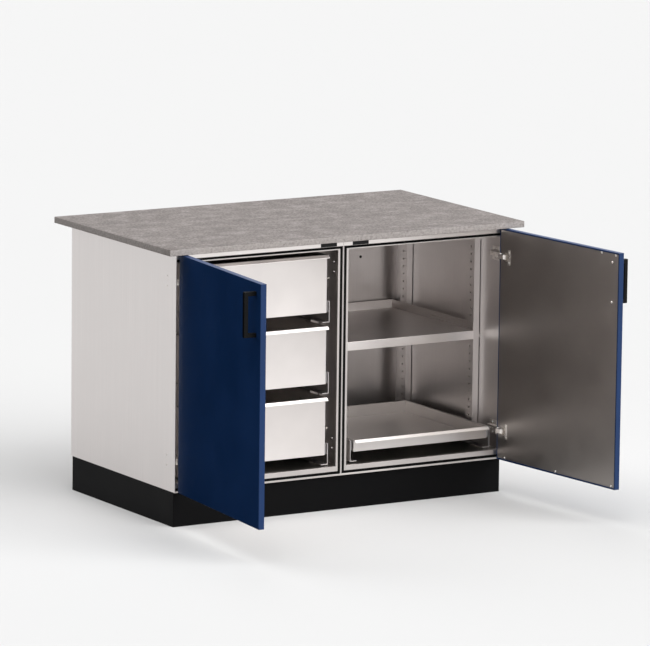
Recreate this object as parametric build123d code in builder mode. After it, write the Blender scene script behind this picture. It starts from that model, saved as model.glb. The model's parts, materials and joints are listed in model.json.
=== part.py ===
from build123d import *
import os

# Outdoor kitchen cabinet: two stainless steel cabinets side by side on one black plinth,
# under one stone slab. The left cabinet holds three drawers, the right one a shelf and a
# pull-out tray, and each has a powder-coated door that stands open at rest.
# Millimetres. +X to the right, +Y to the back, +Z up. The origin is on the floor, in the
# middle of the plinth. Values named "side" are -1 for the left cabinet, +1 for the right.

os.makedirs("parts", exist_ok=True)

# Overall sizes
cabinet_width = 610.0
carcass_depth = 686.0
carcass_bottom = 112.0
carcass_top = 876.0
overrun = 1.0
turning_clearance = 0.05
assembly_clearance = 0.3

# Worktop
slab_thickness = 20.0
slab_front_overhang = 42.0
slab_rear_overhang = 34.0
slab_side_overhang = 47.0
slab_edge_radius = 1.5

# Sheet thicknesses
carcass_sheet = 1.5
frame_sheet = 1.0
plinth_sheet = 2.0
drawer_sheet = 1.2
door_sheet = 1.5
bracket_sheet = 2.0
slide_sheet = 1.2

# Plinth
plinth_inset = 10.0
plinth_flange = 40.0
bearer_width = 40.0
foot_radius = 23.0
foot_height = 8.0
foot_edge_radius = 1.5
stem_radius = 5.0
stem_top = 125.0
foot_nut_radius = 9.0
foot_nut_height = 8.0
foot_end_inset = 50.0

# Carcass
back_gap = 28.5
fixing_hole_radius = 3.0
fixing_hole_spacing = 318.0
fixing_hole_height = 692.0
plug_head_radius = 4.5
plug_head_height = 1.2
plug_stem_length = 4.0
side_hole_radius = 2.5
side_hole_spacing = 32.0
side_hole_setback = 55.0
rail_height = 19.0
rail_top_flange = 60.0
rail_bottom_flange = 14.0
bolt_radius = 3.0
bolt_head_radius = 6.0
bolt_head_height = 4.0
bolt_setback = 95.0
bolt_rear_inset = 30.0
bolt_height_shares = (0.18, 0.82)

# Rain gutter round each opening, as widths on the latch side, the top and the bottom
lip_widths = (2.5, 1.0, 5.7)
gutter_widths = (9.6, 7.8, 9.3)
flange_widths = (7.4, 3.4, 16.0)
gutter_depth = 13.0
flange_return = 18.0
seal_setback = 2.0

# Posts with shelf holes
post_width = 41.0
post_sheet = 1.2
post_flange = 10.0
post_stand_off = 2.0
post_pad_height = 12.0
post_pad_inset = 30.0
post_front_setback = 162.0
post_rear_inset = 108.0
post_top_gap = 26.0
latch_post_depth = 31.5
hinge_post_depth = 23.5
pin_hole_radius = 3.25
pin_hole_spacing = 25.4
pin_hole_count = 26
first_pin_hole = 13.0
shelf_hole_index = 14

# Shelf
shelf_side_gap = 2.0
shelf_front_setback = 137.0
shelf_rear_inset = 41.0
shelf_sheet = 1.5
shelf_front_height = 28.0
shelf_rim_height = 27.0
clip_width = 14.0
clip_reach = 15.0
clip_thickness = 2.0
clip_drop = 2.5

# Drawers and tray
drawer_side_room = 51.5
drawer_setback = 17.0
drawer_rear_inset = 165.0
drawer_gap = 43.0
drawer_top_room = 46.0
drawer_count = 3
lowest_drawer_bottom = 180.0
tray_height = 39.0
tray_bottom = 181.0
drawer_shift = 2.0
tray_shift = 5.0
lip_flat = 8.0
lip_reach = 15.5
lip_fall = 8.0
lip_side = 0.5
corner_radius = 2.0

# Slides and the brackets that carry them
slide_height = 35.0
slide_width = 9.5
slide_setback = 12.0
slide_overhang = 8.0
slide_bottom_offset = 1.0
slide_gap = 0.4
inner_slide_end_room = 12.0
bracket_drop = 32.0
bracket_height = 69.0
bracket_foot = 25.0
bracket_setback = 19.0
bracket_rear_inset = 85.0
tab_width = 34.0
tab_height = 40.0
tab_rise = 8.0

# Doors
door_gap = 3.0
door_thickness = 19.0
door_reveal = 2.0
door_end_reveal = 2.0
door_hem = 5.0
door_edge_radius = 1.5
door_open_angle = 95.5
latch_size = (59.0, 22.0)
left_latch_inset = 25.0
right_latch_inset = 34.0
latch_proud = 2.0

# Door hinges
pivot_inset = 8.0
pivot_depth = 14.0
hinge_top_inset = 91.5
hinge_bottom_inset = 95.5
knuckle_radius = 3.2
pin_radius = 1.5
fork_width = 3.0
fork_root = 6.0
cheek_thickness = 1.8
cheek_gap = 0.3
cup_centre = 30.0
cup_radius = 14.0
cup_sheet = 1.2
cup_depth = 11.0
cup_bar_centre = 46.0
cup_bar_width = 10.0
cup_bar_height = 50.0
cup_bar_thickness = 1.6
cup_plate_height = 24.0
link_start = 3.0
link_end = 25.0
link_proud = 8.0
link_height = 14.0
arm_back = 66.0
arm_front = 8.0
arm_height = 16.0
hinge_plate_height = 46.0
hinge_plate_front = 30.0
hinge_plate_sheet = 1.5
arm_screw_radius = 2.6
arm_screw_depth = 3.0
arm_screw_first = 34.0
arm_screw_pitch = 15.0
plate_screw_radius = 1.8
plate_screw_head_radius = 3.4
plate_screw_head = 1.8
plate_screw_length = 5.0
plate_screw_setback = 50.0

# Handles
handle_bar = 13.0
handle_centres = 128.0
handle_projection = 41.0
handle_free_inset = 36.0
handle_top_inset = 97.0
handle_edge_radius = 1.0
screw_radius = 2.0
screw_head_radius = 4.2
screw_head_height = 2.2
screw_bite = 9.0
liner_screw_radius = 1.4
liner_screw_head_radius = 4.0
liner_screw_head_height = 1.6
liner_screw_bite = 5.0
strike_screw_insets = (19.5, 90.0)
bottom_screw_shares = (0.064, 0.5, 0.965)
liner_screw_end_inset = 9.5

# Sizes and places worked out from these
slab_depth = carcass_depth + slab_front_overhang + slab_rear_overhang
drawer_width = cabinet_width - 2 * drawer_side_room
drawer_depth = carcass_depth - drawer_setback - drawer_rear_inset
drawer_stack = carcass_top - drawer_top_room - lowest_drawer_bottom
drawer_pitch = (drawer_stack + drawer_gap) / drawer_count
drawer_height = drawer_pitch - drawer_gap
slide_length = drawer_depth - slide_setback + slide_overhang
inner_slide_length = slide_length - inner_slide_end_room
bracket_length = carcass_depth - bracket_setback - bracket_rear_inset
shelf_depth = carcass_depth - shelf_front_setback - shelf_rear_inset
post_rear_setback = carcass_depth - post_rear_inset
latch_inset = {-1: left_latch_inset, 1: right_latch_inset}
bolt_heights = [carcass_bottom + share * (carcass_top - carcass_bottom) for share in bolt_height_shares]
front_y = -carcass_depth / 2
back_y = carcass_depth / 2
back_panel_y = back_y - back_gap - carcass_sheet
half_width = cabinet_width
rail_bottom = carcass_top - rail_height
frame_opening = [sum(widths) for widths in zip(lip_widths, gutter_widths, flange_widths)]
opening_bottom = carcass_bottom + frame_opening[2]
floor_top = opening_bottom - frame_sheet
wall_x = cabinet_width - carcass_sheet
latch_post_face = carcass_sheet + latch_post_depth
hinge_post_face = wall_x - hinge_post_depth
drawer_front_y = front_y + drawer_setback
drawer_back_y = drawer_front_y + drawer_depth
first_hole_z = floor_top + first_pin_hole
shelf_z = first_hole_z + shelf_hole_index * pin_hole_spacing + clip_drop
door_inner_y = front_y - door_gap
door_outer_y = door_inner_y - door_thickness
door_width = cabinet_width - 2 * door_reveal
door_bottom = carcass_bottom + door_end_reveal
door_top = carcass_top - door_end_reveal
liner_y = door_inner_y - door_sheet
pivot_x = cabinet_width - door_reveal - pivot_inset
pivot_y = door_inner_y - pivot_depth
hinge_heights = (door_bottom + hinge_bottom_inset, door_top - hinge_top_inset)
fork_x = pivot_x - knuckle_radius
cheek_start = link_height / 2 + cheek_gap
cheek_end = cheek_start + cheek_thickness
notch_half = cheek_end + assembly_clearance
handle_z = door_top - handle_top_inset
lip_run = lip_reach - lip_flat
lip_thickness = drawer_sheet * (lip_run ** 2 + lip_fall ** 2) ** 0.5 / lip_run


def span(x0, x1, y0, y1, z0, z1, mode=Mode.ADD):
    """A box between two corners, added to the part being built."""
    low, high = min(x0, x1), max(x0, x1)
    with Locations(((low + high) / 2, (y0 + y1) / 2, (z0 + z1) / 2)):
        Box(high - low, y1 - y0, z1 - z0, mode=mode)


def facing(y):
    """An upright plane that faces the front, with its own x and y along +X and +Z."""
    return Plane(origin=(0, y, 0), x_dir=(1, 0, 0), z_dir=(0, -1, 0))


def sideways(x):
    """An upright plane that faces +X, with its own x and y along +Y and +Z."""
    return Plane(origin=(x, 0, 0), x_dir=(0, 1, 0), z_dir=(1, 0, 0))


def panel(x0, x1, z0, z1, mode=Mode.ADD):
    """A rectangle between two corners, added to the sketch being drawn."""
    low, high = min(x0, x1), max(x0, x1)
    with Locations(((low + high) / 2, (z0 + z1) / 2)):
        Rectangle(high - low, z1 - z0, mode=mode)


def save(part, name):
    part.label = name
    export_step(part, "parts/" + name + ".step")


def save_group(parts, name):
    save(Compound(children=parts), name)


def cabinet_name(side):
    return "left_cabinet_" if side < 0 else "right_cabinet_"


def door_name(side):
    return "left_door_" if side < 0 else "right_door_"


# Worktop slab
with BuildPart() as worktop:
    with BuildSketch(Plane.XY.offset(carcass_top)):
        with Locations((0, front_y - slab_front_overhang + slab_depth / 2)):
            Rectangle(2 * (cabinet_width + slab_side_overhang), slab_depth)
    extrude(amount=slab_thickness)
    fillet(worktop.edges(), slab_edge_radius)
save(worktop.part, "worktop_slab")


# Plinth: a ladder of folded sheet with a separate kick board in front
plinth_front = front_y + plinth_inset
plinth_back = back_y - plinth_inset
with BuildPart() as toe_kick:
    span(-half_width, half_width, plinth_front, plinth_front + plinth_sheet, 0, carcass_bottom)
save(toe_kick.part, "toe_kick")

foot_wall_gap = foot_radius + plinth_sheet
foot_x_places = [
    side * x
    for side in (-1, 1)
    for x in (bearer_width / 2 + foot_wall_gap, half_width - plinth_sheet - foot_wall_gap)
]
foot_places = [(x, y) for x in foot_x_places for y in (front_y + foot_end_inset, back_y - foot_end_inset)]
with BuildPart() as plinth:
    ladder_front = plinth_front + plinth_sheet
    flange_z = carcass_bottom - plinth_sheet
    for side in (-1, 1):
        outer = side * half_width
        span(outer, outer - side * plinth_sheet, ladder_front, plinth_back, 0, carcass_bottom)
        span(outer, outer - side * plinth_flange, ladder_front, plinth_back, flange_z, carcass_bottom)
        wing = side * (bearer_width / 2 + plinth_flange)
        span(0, wing, ladder_front, plinth_back, flange_z, carcass_bottom)
    span(-half_width, half_width, plinth_back - plinth_sheet, plinth_back, 0, carcass_bottom)
    span(-bearer_width / 2, bearer_width / 2, ladder_front, plinth_back, 0, carcass_bottom)
    tube_half = bearer_width / 2 - plinth_sheet
    span(-tube_half, tube_half, ladder_front - overrun, plinth_back - plinth_sheet,
         plinth_sheet, flange_z, mode=Mode.SUBTRACT)
    with BuildSketch(Plane.XY.offset(flange_z - overrun)):
        with Locations(foot_places):
            Circle(stem_radius + assembly_clearance)
    extrude(amount=plinth_sheet + 2 * overrun, mode=Mode.SUBTRACT)
save(plinth.part, "plinth_frame")


def levelling_foot(x, y):
    with BuildPart() as foot:
        with BuildSketch():
            with Locations((x, y)):
                Circle(foot_radius)
        extrude(amount=foot_height)
        fillet(foot.faces().sort_by(Axis.Z)[-1].edges(), foot_edge_radius)
        with BuildSketch():
            with Locations((x, y)):
                Circle(stem_radius)
        extrude(amount=stem_top)
        with BuildSketch(Plane.XY.offset(flange_z - foot_nut_height)):
            with Locations((x, y)):
                RegularPolygon(foot_nut_radius, 6)
        extrude(amount=foot_nut_height)
    return foot.part


save_group([levelling_foot(x, y) for x, y in foot_places], "levelling_feet")


# Carcass sheets of one cabinet
def side_sheet(side, at_hinge):
    """One side wall. The latch side wall stands back to back with the other cabinet's."""
    inner = side * wall_x if at_hinge else side * carcass_sheet
    outer = side * cabinet_width if at_hinge else 0
    with BuildPart() as sheet:
        span(inner, outer, front_y + frame_sheet, back_y, carcass_bottom, carcass_top)
        across = sideways(min(inner, outer) - overrun)
        through = carcass_sheet + 2 * overrun
        with BuildSketch(across):
            with Locations(*[(front_y + side_hole_setback, z) for z in hinge_heights]):
                with GridLocations(0, side_hole_spacing, 1, 2):
                    Circle(side_hole_radius)
        extrude(amount=through, mode=Mode.SUBTRACT)
        if not at_hinge:
            with BuildSketch(across):
                with Locations(*bolt_places):
                    Circle(bolt_radius + assembly_clearance)
            extrude(amount=through, mode=Mode.SUBTRACT)
    return sheet.part


def floor_sheet(side):
    with BuildPart() as floor:
        span(side * carcass_sheet, side * wall_x, front_y + gutter_depth, back_panel_y,
             floor_top - carcass_sheet, floor_top)
    return floor.part


def back_sheet(side):
    """The back wall, with its top edge folded back under the slab."""
    middle = side * cabinet_width / 2
    with BuildPart() as back:
        span(side * carcass_sheet, side * wall_x, back_panel_y, back_panel_y + carcass_sheet,
             carcass_bottom, carcass_top)
        span(side * carcass_sheet, side * wall_x, back_panel_y, back_y,
             carcass_top - carcass_sheet, carcass_top)
        with BuildSketch(facing(back_panel_y - overrun)):
            with Locations((middle, fixing_hole_height)):
                with GridLocations(fixing_hole_spacing, 0, 2, 1):
                    Circle(fixing_hole_radius)
        extrude(amount=-(carcass_sheet + 2 * overrun), mode=Mode.SUBTRACT)
    return back.part


def top_rail(side):
    """The front rail under the slab: a channel with a window for the door latch."""
    latch_start = side * latch_inset[side]
    with BuildPart() as rail:
        start, end = side * carcass_sheet, side * wall_x
        span(start, end, front_y, front_y + carcass_sheet, rail_bottom, carcass_top)
        span(start, end, front_y, front_y + rail_top_flange, carcass_top - carcass_sheet, carcass_top)
        span(start, end, front_y, front_y + rail_bottom_flange, rail_bottom, rail_bottom + carcass_sheet)
        span(latch_start, latch_start + side * latch_size[0], front_y - overrun,
             front_y + rail_bottom_flange + overrun, rail_bottom - overrun,
             carcass_top - carcass_sheet, mode=Mode.SUBTRACT)
    return rail.part


def frame_band(side, outer, inner, y_start, depth):
    """A band round three sides of the opening between two sets of insets."""
    outer_latch, outer_top, outer_bottom = outer
    inner_latch, inner_top, inner_bottom = inner
    with BuildSketch(facing(y_start)) as band:
        panel(side * outer_latch, side * wall_x, carcass_bottom + outer_bottom, rail_bottom - outer_top)
        panel(side * inner_latch, side * (wall_x + overrun), carcass_bottom + inner_bottom,
              rail_bottom - inner_top, mode=Mode.SUBTRACT)
    extrude(band.sketch, amount=-depth)


def inset_sum(*widths):
    return [sum(parts) for parts in zip(*widths)]


def thinner(insets):
    return [inset - frame_sheet for inset in insets]


def gutter_frame(side):
    """A folded frame with a rain gutter: lip, channel, flange and inward return."""
    gutter_start = list(lip_widths)
    gutter_end = inset_sum(lip_widths, gutter_widths)
    channel_end = [inset + frame_sheet for inset in gutter_end]
    with BuildPart() as frame:
        frame_band(side, (0, 0, 0), gutter_start, front_y, frame_sheet)
        frame_band(side, thinner(gutter_start), gutter_start, front_y, gutter_depth)
        frame_band(side, thinner(gutter_start), channel_end,
                   front_y + gutter_depth - frame_sheet, frame_sheet)
        frame_band(side, gutter_end, channel_end, front_y, gutter_depth)
        frame_band(side, gutter_end, frame_opening, front_y, frame_sheet)
        frame_band(side, thinner(frame_opening), frame_opening, front_y, flange_return)
    return frame.part


def door_seal(side):
    with BuildPart() as seal:
        frame_band(side, lip_widths, inset_sum(lip_widths, gutter_widths),
                   front_y + seal_setback, gutter_depth - frame_sheet - seal_setback)
    return seal.part


def post(side, at_hinge, setback):
    """A channel-section post with a column of holes for the shelf clips, held off the wall by pads."""
    wall = wall_x if at_hinge else carcass_sheet
    face = hinge_post_face if at_hinge else latch_post_face
    inward = -1 if at_hinge else 1
    middle = front_y + setback
    near, far = middle - post_width / 2, middle + post_width / 2
    bottom, top = floor_top, carcass_top - post_top_gap
    skin = inward * post_sheet
    rear = wall + inward * post_stand_off
    pad_places = (bottom + post_pad_inset, (bottom + top) / 2, top - post_pad_inset)
    with BuildPart() as rib:
        span(side * (face - skin), side * face, near, far, bottom, top)
        for edge, out in ((near, -1), (far, 1)):
            inner_edge = edge - out * post_sheet
            span(side * rear, side * face, min(edge, inner_edge), max(edge, inner_edge), bottom, top)
            flange_edge = edge - out * post_flange
            flange_start, flange_end = min(edge, flange_edge), max(edge, flange_edge)
            span(side * rear, side * (rear + skin), flange_start, flange_end, bottom, top)
            for z in pad_places:
                span(side * wall, side * (rear + skin), flange_start, flange_end,
                     z - post_pad_height / 2, z + post_pad_height / 2)
        column = first_hole_z + (pin_hole_count - 1) * pin_hole_spacing / 2
        with BuildSketch(sideways(side * face)):
            with Locations((middle, column)):
                with GridLocations(0, pin_hole_spacing, 1, pin_hole_count):
                    Circle(pin_hole_radius)
        extrude(amount=post_sheet + overrun, both=True, mode=Mode.SUBTRACT)
    return rib.part


def posts(side):
    return [
        post(side, at_hinge, setback)
        for at_hinge in (False, True)
        for setback in (post_front_setback, post_rear_setback)
    ]


def latch(side):
    """The black door latch, set in the window of the rail."""
    start = side * latch_inset[side]
    with BuildPart() as body:
        span(start, start + side * latch_size[0], front_y - latch_proud,
             front_y - latch_proud + latch_size[1], rail_bottom, carcass_top - carcass_sheet)
        fillet(body.edges().filter_by(Axis.Z), corner_radius)
    return body.part


def hole_plug(x):
    """A black plug that closes a fixing hole in a back wall."""
    with BuildPart() as plug:
        with BuildSketch(facing(back_panel_y)):
            with Locations((x, fixing_hole_height)):
                Circle(plug_head_radius)
        extrude(amount=plug_head_height)
        with BuildSketch(facing(back_panel_y)):
            with Locations((x, fixing_hole_height)):
                Circle(fixing_hole_radius)
        extrude(amount=-plug_stem_length)
    return plug.part


plug_places = [
    side * cabinet_width / 2 + half * fixing_hole_spacing / 2
    for side in (-1, 1)
    for half in (-1, 1)
]
bolt_places = [
    (y, z)
    for y in (front_y + bolt_setback, back_panel_y - bolt_rear_inset)
    for z in bolt_heights
]


def joining_bolt(y, z):
    """A bolt and nut that clamp the two cabinets' middle walls together."""
    with BuildPart() as bolt:
        with BuildSketch(sideways(-carcass_sheet - bolt_head_height)):
            with Locations((y, z)):
                Circle(bolt_head_radius)
        extrude(amount=bolt_head_height)
        with BuildSketch(sideways(-carcass_sheet)):
            with Locations((y, z)):
                Circle(bolt_radius)
        extrude(amount=2 * carcass_sheet + 2 * bolt_head_height)
        with BuildSketch(sideways(carcass_sheet)):
            with Locations((y, z)):
                RegularPolygon(bolt_head_radius, 6)
        extrude(amount=bolt_head_height)
    return bolt.part


for side in (-1, 1):
    name = cabinet_name(side)
    save(side_sheet(side, True), name + "outer_wall")
    save(side_sheet(side, False), name + "middle_wall")
    save(floor_sheet(side), name + "floor")
    save(back_sheet(side), name + "back")
    save(top_rail(side), name + "top_rail")
    save(gutter_frame(side), name + "gutter_frame")
    save(door_seal(side), name + "door_seal")
    save_group(posts(side), name + "posts")
save_group([latch(side) for side in (-1, 1)], "door_latches")
save_group([joining_bolt(y, z) for y, z in bolt_places], "joining_bolts")
save_group([hole_plug(x) for x in plug_places], "hole_plugs")


# Adjustable shelf in the right cabinet
shelf_left = latch_post_face + shelf_side_gap
shelf_right = hinge_post_face - shelf_side_gap
shelf_front = front_y + shelf_front_setback
shelf_back = shelf_front + shelf_depth
shelf_top = shelf_z + shelf_sheet
with BuildPart() as shelf:
    span(shelf_left, shelf_right, shelf_front, shelf_back, shelf_z, shelf_top)
    span(shelf_left, shelf_right, shelf_front, shelf_front + shelf_sheet,
         shelf_top - shelf_front_height, shelf_top)
    fillet(shelf.edges().filter_by(Axis.X).sort_by(Axis.Y).group_by(Axis.Y)[0].sort_by(Axis.Z)[-1],
           shelf_sheet / 2)
    rim_top = shelf_top + shelf_rim_height
    span(shelf_left, shelf_left + shelf_sheet, shelf_front, shelf_back, shelf_z, rim_top)
    span(shelf_right - shelf_sheet, shelf_right, shelf_front, shelf_back, shelf_z, rim_top)
    span(shelf_left, shelf_right, shelf_back - shelf_sheet, shelf_back, shelf_z, rim_top)
save(shelf.part, "shelf")


def shelf_clip(face, inward, setback):
    """A clip whose pin sits in a post hole and whose tab carries the shelf."""
    y = front_y + setback
    pin_z = shelf_z - clip_drop
    with BuildPart() as clip:
        span(face, face + inward * clip_thickness, y - clip_width / 2, y + clip_width / 2,
             pin_z - clip_width / 2, shelf_z)
        span(face, face + inward * clip_reach, y - clip_width / 2, y + clip_width / 2,
             shelf_z - clip_thickness, shelf_z)
        with BuildSketch(sideways(face)):
            with Locations((y, pin_z)):
                Circle(pin_hole_radius - assembly_clearance)
        extrude(amount=-inward * 2 * clip_width / 3)
    return clip.part


save_group(
    [
        shelf_clip(face, inward, setback)
        for face, inward in ((latch_post_face, 1), (hinge_post_face, -1))
        for setback in (post_front_setback, post_rear_setback)
    ],
    "shelf_clips",
)


# Drawers and tray: one folded box each, with a sloping pull lip along the front
def pan(left, right, bottom, height):
    top = bottom + height
    lip_end = drawer_front_y - lip_reach
    with BuildPart() as box:
        span(left, right, drawer_front_y, drawer_back_y, bottom, top)
        fillet(box.edges().filter_by(Axis.Z), corner_radius)
        span(left + drawer_sheet, right - drawer_sheet, drawer_front_y + drawer_sheet,
             drawer_back_y - drawer_sheet, bottom + drawer_sheet, top + overrun, mode=Mode.SUBTRACT)
        with BuildSketch(sideways(left - lip_side)):
            with BuildLine():
                Polyline(
                    (drawer_front_y + drawer_sheet, top),
                    (lip_end + lip_run, top),
                    (lip_end, top - lip_fall),
                    (lip_end, top - lip_fall - lip_thickness),
                    (lip_end + lip_run * (1 + (lip_thickness - drawer_sheet) / lip_fall), top - drawer_sheet),
                    (drawer_front_y + drawer_sheet, top - drawer_sheet),
                    close=True,
                )
            make_face()
        extrude(amount=right - left + 2 * lip_side)
    return box.part


# A slide has three nested channels on each side: outer on the bracket, middle, inner on the box
def channel(wall, out, near, far, half, y_start, y_end, bottom_z, web_at_far):
    """A channel along Y. near and far are its distances from the box wall."""
    middle = bottom_z + slide_bottom_offset + slide_height / 2
    web_near = far - slide_sheet if web_at_far else near
    with BuildPart() as member:
        span(wall + out * web_near, wall + out * (web_near + slide_sheet), y_start, y_end,
             middle - half, middle + half)
        for edge in (-1, 1):
            outer_z = middle + edge * half
            inner_z = outer_z - edge * slide_sheet
            span(wall + out * near, wall + out * far, y_start, y_end,
                 min(outer_z, inner_z), max(outer_z, inner_z))
    return member.part


slide_front = drawer_front_y + slide_setback
outer_half = slide_height / 2
middle_half = outer_half - slide_sheet - slide_gap
inner_half = middle_half - slide_sheet - slide_gap
middle_far = slide_width - slide_sheet - slide_gap
inner_far = middle_far - slide_sheet - slide_gap
middle_near = 2 * slide_sheet


def slide_members(left, right, bottom, near, far, half, length, web_at_far):
    return [
        channel(wall, out, near, far, half, slide_front, slide_front + length, bottom, web_at_far)
        for wall, out in ((left, -1), (right, 1))
    ]


def bracket(wall, out, bottom, post_face):
    """A long L bracket that carries one slide, with two folded tabs on the posts."""
    inner = wall + out * slide_width
    outer = inner + out * bracket_sheet
    foot_z = bottom - bracket_drop
    start = front_y + bracket_setback
    tab_bottom = foot_z + tab_rise
    with BuildPart() as angle:
        span(inner, outer, start, start + bracket_length, foot_z, foot_z + bracket_height)
        span(outer - out * bracket_foot, outer, start, start + bracket_length, foot_z, foot_z + bracket_sheet)
        for setback in (post_front_setback, post_rear_setback):
            middle = front_y + setback
            span(post_face - out * frame_sheet, post_face, middle - tab_width / 2,
                 middle + tab_width / 2, tab_bottom, tab_bottom + tab_height)
            for edge in (-1, 1):
                web = middle + edge * (tab_width - frame_sheet) / 2
                span(outer, post_face, web - frame_sheet / 2, web + frame_sheet / 2,
                     tab_bottom, tab_bottom + tab_height)
    return angle.part


def pull_out(name, side, centre, bottom, height):
    """A box on its slides and brackets."""
    left, right = centre - drawer_width / 2, centre + drawer_width / 2
    if side < 0:
        faces = (-hinge_post_face, -latch_post_face)
    else:
        faces = (latch_post_face, hinge_post_face)
    save(pan(left, right, bottom, height), name)
    save_group([bracket(left, -1, bottom, faces[0]), bracket(right, 1, bottom, faces[1])],
               name + "_brackets")
    save_group(slide_members(left, right, bottom, 2 * slide_sheet, slide_width, outer_half,
                             slide_length, True), name + "_slide_outer")
    save_group(slide_members(left, right, bottom, middle_near, middle_far, middle_half,
                             slide_length, True), name + "_slide_middle")
    save_group(slide_members(left, right, bottom, 0, inner_far, inner_half,
                             inner_slide_length, False), name + "_slide_inner")


drawer_centre = -cabinet_width / 2 + drawer_shift
tray_centre = cabinet_width / 2 + tray_shift
for index, name in enumerate(("bottom_drawer", "middle_drawer", "top_drawer")):
    pull_out(name, -1, drawer_centre, lowest_drawer_bottom + index * drawer_pitch, drawer_height)
pull_out("tray", 1, tray_centre, tray_bottom, tray_height)


# Doors are drawn shut and then turned open about their pivot
def from_hinge(side, distance):
    """X of a place on the shut door, counted from its hinge edge."""
    return side * (cabinet_width - door_reveal - distance)


def opened(part, side):
    pivot = Axis((side * pivot_x, pivot_y, 0), (0, 0, 1))
    return part.rotate(pivot, side * door_open_angle)


def handle_places(side):
    x = from_hinge(side, door_width - handle_free_inset)
    return [(x, handle_z + half * handle_centres / 2) for half in (-1, 1)]


def liner_screw_places(side):
    high, low = door_top - liner_screw_end_inset, door_bottom + liner_screw_end_inset
    top = [(from_hinge(side, door_width - inset), high) for inset in strike_screw_insets]
    bottom = [(from_hinge(side, share * door_width), low) for share in bottom_screw_shares]
    return top + bottom


def hinge_notches(side):
    """Room for the hinge arm, from the hinge edge to the cup."""
    for z in hinge_heights:
        span(from_hinge(side, -overrun), from_hinge(side, cup_centre), door_outer_y + door_sheet,
             door_inner_y + overrun, z - notch_half, z + notch_half, mode=Mode.SUBTRACT)


def round_holes(places, radius, y_start, depth):
    with BuildSketch(facing(y_start)) as holes:
        with Locations(*places):
            Circle(radius)
    extrude(holes.sketch, amount=-depth, mode=Mode.SUBTRACT)


def door_skin(side):
    """The powder-coated outer pan, folded round the door's edges."""
    hinge_edge, free_edge = from_hinge(side, 0), from_hinge(side, door_width)
    with BuildPart() as skin:
        span(hinge_edge, free_edge, door_outer_y, door_inner_y, door_bottom, door_top)
        fillet(skin.faces().sort_by(Axis.Y)[0].edges(), door_edge_radius)
        span(from_hinge(side, door_sheet), from_hinge(side, door_width - door_sheet),
             door_outer_y + door_sheet, liner_y, door_bottom + door_sheet, door_top - door_sheet,
             mode=Mode.SUBTRACT)
        span(from_hinge(side, door_sheet), from_hinge(side, door_width - door_hem), liner_y - overrun,
             door_inner_y + overrun, door_bottom + door_hem, door_top - door_hem, mode=Mode.SUBTRACT)
        hinge_notches(side)
        round_holes(handle_places(side), screw_radius + assembly_clearance, door_outer_y - overrun,
                    door_sheet + 2 * overrun)
    return skin.part


def door_liner(side):
    """The stainless inner sheet, held behind the hem of the skin."""
    gap = door_sheet
    cups = [(from_hinge(side, cup_centre), z) for z in hinge_heights]
    with BuildPart() as liner:
        span(from_hinge(side, gap), from_hinge(side, door_width - gap), liner_y - door_sheet, liner_y,
             door_bottom + gap, door_top - gap)
        hinge_notches(side)
        start = liner_y - door_sheet - overrun
        through = door_sheet + 2 * overrun
        round_holes(cups, cup_radius + assembly_clearance, start, through)
        round_holes(handle_places(side), screw_radius + assembly_clearance, start, through)
        round_holes(liner_screw_places(side), liner_screw_radius + assembly_clearance, start, through)
    return liner.part


def door_handle(side):
    """A square bar pull with two square legs."""
    bar_y = door_outer_y - handle_projection
    with BuildPart() as handle:
        x = from_hinge(side, door_width - handle_free_inset)
        half = handle_bar / 2
        reach = handle_centres / 2 + half
        span(x - half, x + half, bar_y, door_outer_y, handle_z - reach, handle_z + reach)
        fillet(handle.faces().sort_by(Axis.Y)[0].edges(), handle_edge_radius)
        span(x - half - overrun, x + half + overrun, bar_y + handle_bar, door_outer_y + overrun,
             handle_z - reach + handle_bar, handle_z + reach - handle_bar, mode=Mode.SUBTRACT)
        round_holes(handle_places(side), screw_radius, door_outer_y - screw_bite, screw_bite)
    return handle.part


def screw(x, z, head_y, head_radius, head_height, radius, length):
    """A button-head screw that goes in towards the door's outside."""
    with BuildPart() as fastener:
        with BuildSketch(facing(head_y + head_height)):
            with Locations((x, z)):
                Circle(head_radius)
        extrude(amount=head_height)
        fillet(fastener.faces().sort_by(Axis.Y)[-1].edges(), head_height / 2)
        with BuildSketch(facing(head_y)):
            with Locations((x, z)):
                Circle(radius)
        extrude(amount=length)
    return fastener.part


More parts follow.
